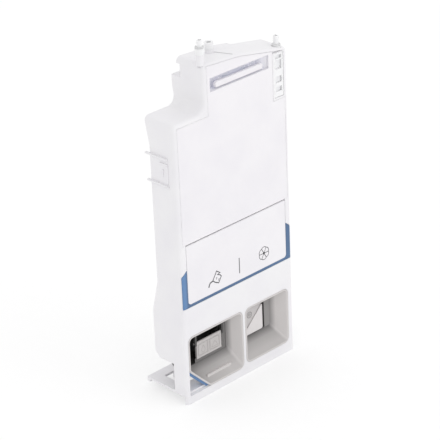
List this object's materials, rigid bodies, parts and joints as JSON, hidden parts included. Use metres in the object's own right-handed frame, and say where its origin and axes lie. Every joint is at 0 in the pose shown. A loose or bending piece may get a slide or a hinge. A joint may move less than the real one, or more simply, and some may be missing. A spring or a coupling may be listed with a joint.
{
  "type": "detergent dispenser drawer",
  "caption": "Washing machine detergent drawer with refillable dosing tanks under a hinged lid, scoop cups with flap and siphon, rear docking nozzles and a push release bar.",
  "frame": {"origin": "centre of the bounding box at the bottom: the drawer stands on its front end", "axes": "+X across the drawer, -Y out of its top face in use, +Z from the front end to the rear nozzles"},
  "size_m": [0.1652, 0.06, 0.3885],
  "materials": {
    "white_body": "moulded satin",
    "white_cover": "moulded satin",
    "white_lid": "moulded satin",
    "white_shoe": "moulded matt",
    "blue_plastic": "moulded gloss",
    "grey_plastic": "moulded matt",
    "flap_plastic": "moulded matt",
    "cap_plastic": "moulded satin",
    "natural_plastic": "translucent natural",
    "grey_rubber": "soft",
    "clear_rubber": "soft, natural",
    "spring_steel": "bright"
  },
  "bodies": {
    "drawer": {"drawer_body": "white_body", "top_cover": "white_cover", "powder_cup": "grey_plastic", "softener_cup": "grey_plastic", "siphon_cap": "cap_plastic", "cup_grip": "blue_plastic", "release_spring": "spring_steel", "detergent_nozzle": "natural_plastic", "softener_nozzle": "natural_plastic", "detergent_ring": "clear_rubber", "softener_ring": "clear_rubber", "vent_spigot": "natural_plastic", "suction_grille": "natural_plastic", "guide_shoe_left": "white_shoe", "guide_shoe_right": "white_shoe"},
    "lid": {"lid_cover": "white_lid", "lid_frame": "blue_plastic", "detergent_seal": "grey_rubber", "softener_seal": "grey_rubber"},
    "flap": {"liquid_flap": "flap_plastic"},
    "bar": {"release_bar": "white_lid"},
    "float_left": {"detergent_float": "natural_plastic", "detergent_magnet": "spring_steel"},
    "float_right": {"softener_float": "natural_plastic", "softener_magnet": "spring_steel"}
  },
  "joints": [
    {"name": "lid_hinge", "type": "hinge", "parent": "drawer", "child": "lid", "pos_m": [0, -0.0284, 0.179], "axis": [-1, 0, 0], "range_deg": [0, 100]},
    {"name": "flap_hinge", "type": "hinge", "parent": "drawer", "child": "flap", "pos_m": [-0.03575, -0.0181, 0.0584], "axis": [1, 0, 0], "range_deg": [0, 90]},
    {"name": "bar_push", "type": "slide", "parent": "drawer", "child": "bar", "axis": [0, 1, 0], "range_m": [0, 0.0025], "stiffness_N_per_m": 300, "springref_m": -0.002, "deforming": ["release_spring"]},
    {"name": "detergent_float_swing", "type": "hinge", "parent": "drawer", "child": "float_left", "pos_m": [-0.016, -0.002, 0.286], "axis": [-1, 0, 0], "range_deg": [0, 22]},
    {"name": "softener_float_swing", "type": "hinge", "parent": "drawer", "child": "float_right", "pos_m": [0.036, -0.002, 0.286], "axis": [-1, 0, 0], "range_deg": [0, 22]}
  ]
}
